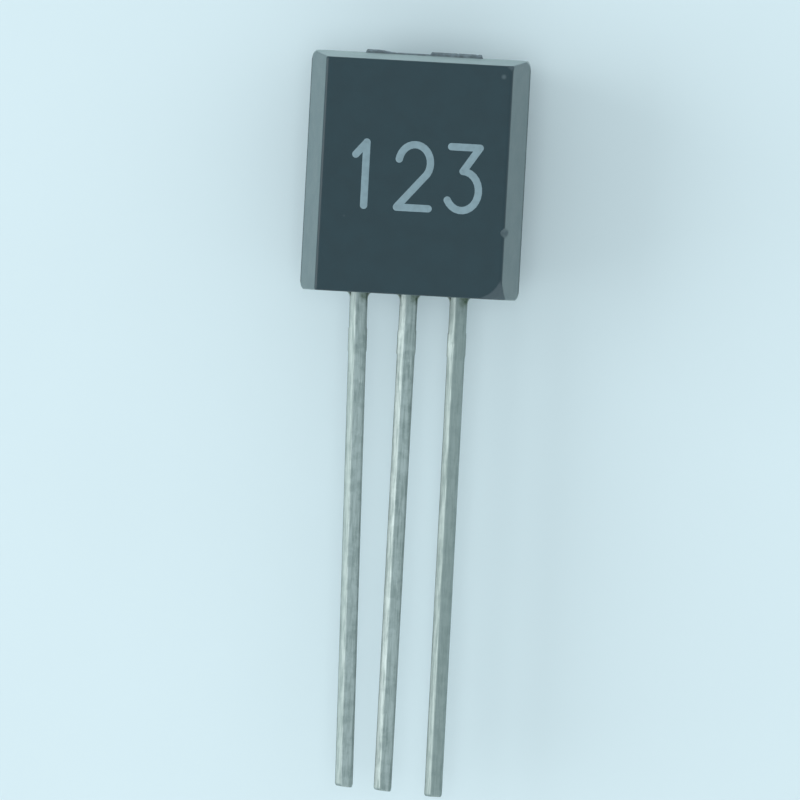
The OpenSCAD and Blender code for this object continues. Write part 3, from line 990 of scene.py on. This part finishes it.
def ribbon_tree():
    """Geometry nodes that lay a thin ribbon of ink along each stroke, with round ends."""
    kinds = {"Geometry": "Geometry", "Stroke": "Float", "Film": "Float", "Material": "Material"}
    tree, given = geometry_tree("Ink ribbon", kinds)
    radius = calculate(tree, "DIVIDE", given["Stroke"], 2.0)
    flat = calculate(tree, "DIVIDE", given["Film"], radius)
    squash, lens = combined(tree, 1.0, 1.0, flat), combined(tree, 1.0, flat, 1.0)
    circle = add_node(tree, "GeometryNodeCurvePrimitiveCircle", {"Resolution": 16, "Radius": radius})
    profile = add_node(tree, "GeometryNodeTransform", {"Geometry": circle.outputs[0], "Scale": lens})
    upright = add_node(tree, "GeometryNodeSetCurveNormal", {"Curve": given["Geometry"]}, mode="Z_UP")
    ribbon = add_node(
        tree, "GeometryNodeCurveToMesh",
        {"Curve": upright.outputs[0], "Profile Curve": profile.outputs[0], "Fill Caps": True},
    )
    ends = add_node(tree, "GeometryNodeCurveEndpointSelection")
    ball = add_node(tree, "GeometryNodeMeshUVSphere", {"Segments": 24, "Rings": 8, "Radius": radius})
    caps = add_node(
        tree, "GeometryNodeInstanceOnPoints",
        {
            "Points": given["Geometry"], "Selection": ends.outputs[0],
            "Instance": ball.outputs[0], "Scale": squash,
        },
    )
    joined = add_node(tree, "GeometryNodeJoinGeometry")
    tree.links.new(ribbon.outputs[0], joined.inputs[0])
    tree.links.new(caps.outputs[0], joined.inputs[0])
    finish_tree(tree, joined.outputs[0], given["Material"])
    return tree


class TRANSISTOR_OT_lead_numbers(bpy.types.Operator):
    """Print a plain number on the flat face above each lead"""

    bl_idname = "transistor.lead_numbers"
    bl_label = "Lead numbers"

    def execute(self, context):
        scene = context.scene
        numbers, lead, resin = scene.transistor_numbers, scene.transistor_lead, scene.transistor_resin
        level = resin.front - resin.face_skin
        strokes = bpy.data.curves.new("number_strokes", "CURVE")
        strokes.dimensions = "3D"
        for place, lines in zip(LEADS.values(), number_lines()):
            for line in lines:
                spline = strokes.splines.new("POLY")
                spline.points.add(len(line) - 1)
                for target, (x, y) in zip(spline.points, line):
                    across = place * lead.pitch + (x - 0.5) * numbers.width
                    target.co = (across, numbers.foot + y * numbers.height, level, 1)
        ink = ink_material(numbers)
        mesh = made_by(
            ribbon_tree(), "lead_numbers", strokes, Stroke=numbers.stroke, Film=resin.face_skin * 0.8,
            Material=ink,
        )
        mesh.materials.clear()
        mesh.materials.append(ink)
        new_piece("lead_numbers", mesh)
        return {"FINISHED"}


class TRANSISTOR_OT_inner_pieces(bpy.types.Operator):
    """Give the die, its bond layer and its wires their finishes"""

    bl_idname = "transistor.inner_pieces"
    bl_label = "Die and bond wires"

    def execute(self, context):
        gold = gold_material()
        finishes = {"die_attach": die_attach_material(), "silicon": silicon_material(), "bond_wire": gold}
        for node, finish in INNER_PIECES.items():
            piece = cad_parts[node]
            piece.data.materials.clear()
            piece.data.materials.append(finishes[finish])
        return {"FINISHED"}


def background_seen(tree):
    """One where the camera sees a thing, also in metal or through glass, and zero for its light."""
    path = add_node(tree, "ShaderNodeLightPath").outputs
    mirrored = calculate(tree, "MAXIMUM", path["Is Glossy Ray"], path["Is Transmission Ray"])
    return calculate(tree, "MAXIMUM", path["Is Camera Ray"], mirrored)


def blend_shaders(tree, factor, first, second, output):
    """Mixes two shaders into the named output of a tree."""
    blend = add_node(tree, "ShaderNodeMixShader", {0: factor, 1: first, 2: second})
    tree.links.new(blend.outputs[0], tree.nodes[output].inputs["Surface"])


def floor_material(stage):
    """Smooth pale card with a faint grain, which fades to its own plain colour far out."""
    material, tree, shader = new_material("pale_card", Roughness=0.85, Specular_IOR_Level=0.2)
    grain = place_group(tree, "Moulding grain", Grain_Size=0.15 * MM, Mottle_Size=9 * MM)
    card = mottled(tree, grain, stage.floor, 0.985, 1.0)
    tree.links.new(card, shader["Base Color"])
    tree.links.new(mapped(tree, grain["Mottle"], 0.0, 1.0, 0.8, 0.9), shader["Roughness"])
    out = vector_math(tree, "DISTANCE", own_coordinates(tree)["Object"], (0, 0, 0))
    seen_far = product(tree, mapped(tree, out, 40 * MM, 160 * MM), background_seen(tree))
    plain = add_node(tree, "ShaderNodeEmission", {"Color": rgba(stage.floor), "Strength": 1.0})
    lit = tree.nodes["Principled BSDF"].outputs[0]
    blend_shaders(tree, seen_far, lit, plain.outputs[0], "Material Output")
    return material


def part_of_sky(size, away):
    """The share of a floor's light that a square lamp of full brightness above it would give."""
    slant = size / 2 / away
    reach = slant / math.sqrt(1 + slant**2)
    return 4 / math.pi * reach * math.atan(reach)


def soft_lamp(name, stage, turn, height, given, size):
    """A large square lamp which gives the floor its share of light. Turn starts at the head."""
    away = stage.lamp_distance
    data = bpy.data.lights.new(name, "AREA")
    data.size = size
    data.energy = given * math.pi * size**2 / part_of_sky(size, away) / math.sin(height)
    lamp = bpy.data.objects.new(name, data)
    across, up = away * math.cos(height), away * math.sin(height)
    place = Vector((across * math.sin(turn), across * math.cos(turn), up))
    lamp.location = BODY_MIDDLE + place
    lamp.rotation_euler = (-place).to_track_quat("-Z", "Y").to_euler()
    bpy.context.scene.collection.objects.link(lamp)
    return lamp


class TRANSISTOR_OT_stage(bpy.types.Operator):
    """Lay the pale floor, set the lights and the world, and aim the camera"""

    bl_idname = "transistor.stage"
    bl_label = "Stage"

    def execute(self, context):
        scene = context.scene
        stage = scene.transistor_stage
        self.lay_floor(scene, stage)
        self.light(scene, stage)
        self.aim(scene, stage)
        scene.view_settings.view_transform = "Standard"
        return {"FINISHED"}

    def lay_floor(self, scene, stage):
        """A round card far wider than the picture, which the part lies on."""
        radius = 700 * MM
        mesh = bmesh.new()
        bmesh.ops.create_circle(mesh, cap_ends=True, segments=96, radius=radius)
        bmesh.ops.translate(mesh, verts=mesh.verts, vec=(0, 0, BODY_LOW.z))
        data = bpy.data.meshes.new("floor")
        mesh.to_mesh(data)
        mesh.free()
        data.materials.append(floor_material(stage))
        floor = bpy.data.objects.new("floor", data)
        scene.collection.objects.link(floor)

    def light(self, scene, stage):
        """Soft light from all round, four side lamps, and one above that metal doesn't mirror."""
        sides = {
            "left": (-90, stage.left_share), "right": (90, stage.right_share),
            "foot": (180, stage.foot_share), "head": (0, stage.head_share),
        }
        for name, (turn, given) in sides.items():
            turned = math.radians(turn)
            soft_lamp(name + "_lamp", stage, turned, stage.lamp_height, given, stage.lamp_size)
        overhead = soft_lamp("top_lamp", stage, 0, math.radians(90), stage.top_share, stage.top_size)
        overhead.visible_glossy = False
        world = bpy.data.worlds.new("soft_sky")
        world.use_nodes = True
        tree = world.node_tree
        around = tree.nodes["Background"]
        around.inputs["Color"].default_value = rgba(stage.sky)
        around.inputs["Strength"].default_value = stage.sky_share
        backdrop = add_node(tree, "ShaderNodeBackground", {"Color": rgba(stage.floor), "Strength": 1.0})
        seen = background_seen(tree)
        blend_shaders(tree, seen, around.outputs[0], backdrop.outputs[0], "World Output")
        scene.world = world

    def aim(self, scene, stage):
        """Camera over the part, with the picture's own scale, place and turn of the part."""
        picture = 800
        pixels_per_metre = 39.4 / MM
        origin_across, origin_down = 409.0, 294.5
        data = bpy.data.cameras.new("camera")
        data.sensor_width = 36.0
        data.lens = pixels_per_metre * stage.distance * data.sensor_width / picture
        data.clip_start, data.clip_end = 0.01, 10
        turn = Matrix.Rotation(-stage.roll, 2)
        off = Vector((picture / 2 - origin_across, origin_down - picture / 2)) / pixels_per_metre
        aimed = turn.inverted() @ off
        target = Vector((aimed.x, aimed.y, 0))
        middle = Vector((0, (BODY_LOW.y + BODY_HIGH.y) / 2, 0))
        lean = Vector((math.tan(stage.lean_to_right), math.tan(stage.lean_to_head), 1))
        camera = bpy.data.objects.new("camera", data)
        camera.location = middle + lean.normalized() * stage.distance
        back = (camera.location - target).normalized()
        up = Vector((-math.sin(stage.roll), math.cos(stage.roll), 0))
        right = up.cross(back).normalized()
        axes = Matrix((right, back.cross(right), back)).transposed()
        camera.rotation_euler = axes.to_euler()
        scene.collection.objects.link(camera)
        scene.camera = camera


class TRANSISTOR_PT_panel(bpy.types.Panel):
    """Lists the pieces of the transistor and their settings"""

    bl_label = "Transistor"
    bl_idname = "TRANSISTOR_PT_panel"
    bl_space_type = "VIEW_3D"
    bl_region_type = "UI"
    bl_category = "Transistor"

    def draw(self, context):
        for operator in OPERATORS:
            self.layout.operator(operator.bl_idname)
        for name in SETTINGS:
            settings = getattr(context.scene, name)
            box = self.layout.box()
            for key in settings.bl_rna.properties.keys():
                if key not in ("rna_type", "name"):
                    box.prop(settings, key)


OPERATORS = (
    TRANSISTOR_OT_moulded_body,
    TRANSISTOR_OT_leads,
    TRANSISTOR_OT_lead_numbers,
    TRANSISTOR_OT_inner_pieces,
    TRANSISTOR_OT_stage,
)
SETTINGS = {
    "transistor_resin": ResinSettings,
    "transistor_lead": LeadSettings,
    "transistor_numbers": NumberSettings,
    "transistor_stage": StageSettings,
}


def register():
    for made in (*SETTINGS.values(), *OPERATORS, TRANSISTOR_PT_panel):
        bpy.utils.register_class(made)
    for name, settings in SETTINGS.items():
        setattr(bpy.types.Scene, name, bpy.props.PointerProperty(type=settings))


def unregister():
    for name in SETTINGS:
        delattr(bpy.types.Scene, name)
    for made in reversed((*SETTINGS.values(), *OPERATORS, TRANSISTOR_PT_panel)):
        bpy.utils.unregister_class(made)


def main():
    register()
    bpy.ops.transistor.moulded_body()
    bpy.ops.transistor.leads()
    bpy.ops.transistor.lead_numbers()
    bpy.ops.transistor.inner_pieces()
    bpy.ops.transistor.stage()


if __name__ == "__main__":
    main()
